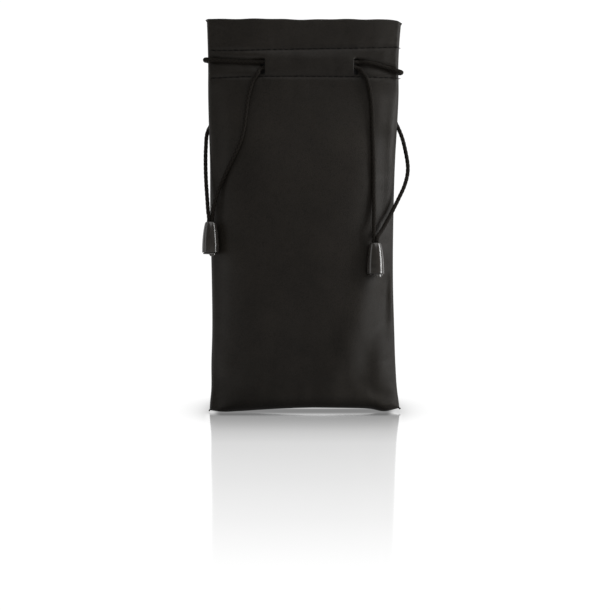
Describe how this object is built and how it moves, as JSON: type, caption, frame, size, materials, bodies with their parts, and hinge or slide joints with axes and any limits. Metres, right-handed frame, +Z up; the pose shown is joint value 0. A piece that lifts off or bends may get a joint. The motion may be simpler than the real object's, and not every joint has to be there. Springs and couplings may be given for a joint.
{
  "type": "drawstring glasses pouch",
  "caption": "Soft leatherette glasses pouch, open at the top, closed by drawstrings whose ends hang at the sides in bell-shaped cord ends.",
  "frame": {"origin": "middle of the pouch's footprint, on the ground", "axes": "+Z up from the bottom seam to the mouth, -Y out of the front face, +X towards the pouch's side that is on the right when its front is seen"},
  "size_m": [0.0957, 0.0304, 0.18],
  "materials": {
    "leatherette": "matte, fine grain",
    "thread": "matte",
    "cord": "matte, braided",
    "cord_end_plastic": "semi-gloss"
  },
  "bodies": {
    "pouch": {"front_panel": "leatherette", "front_lower_stitching": "thread", "front_upper_stitching": "thread", "back_panel": "leatherette", "back_lower_stitching": "thread", "back_upper_stitching": "thread", "left_seam_allowance": "leatherette", "right_seam_allowance": "leatherette", "bottom_seam_allowance": "leatherette", "left_cord_loop": "cord", "left_cord_front_strand": "cord", "left_cord_back_strand": "cord", "right_cord_loop": "cord", "right_cord_front_strand": "cord", "right_cord_back_strand": "cord"},
    "left_cord_end": {"left_bell": "cord_end_plastic", "left_cord_knot": "cord"},
    "right_cord_end": {"right_bell": "cord_end_plastic", "right_cord_knot": "cord"},
    "left_cap": {"left_bell_cap": "cord_end_plastic"},
    "right_cap": {"right_bell_cap": "cord_end_plastic"}
  },
  "joints": [
    {"name": "left_drawstring_pull", "type": "slide", "parent": "pouch", "child": "left_cord_end", "axis": [0, 0, -1], "range_m": [0, 0.03], "deforming": ["left_cord_front_strand", "left_cord_back_strand"]},
    {"name": "right_drawstring_pull", "type": "slide", "parent": "pouch", "child": "right_cord_end", "axis": [0, 0, -1], "range_m": [0, 0.03], "deforming": ["right_cord_front_strand", "right_cord_back_strand"]},
    {"name": "left_cap_release", "type": "slide", "parent": "left_cord_end", "child": "left_cap", "axis": [0, 0, -1], "range_m": [0, 0.008]},
    {"name": "right_cap_release", "type": "slide", "parent": "right_cord_end", "child": "right_cap", "axis": [0, 0, -1], "range_m": [0, 0.008]}
  ]
}
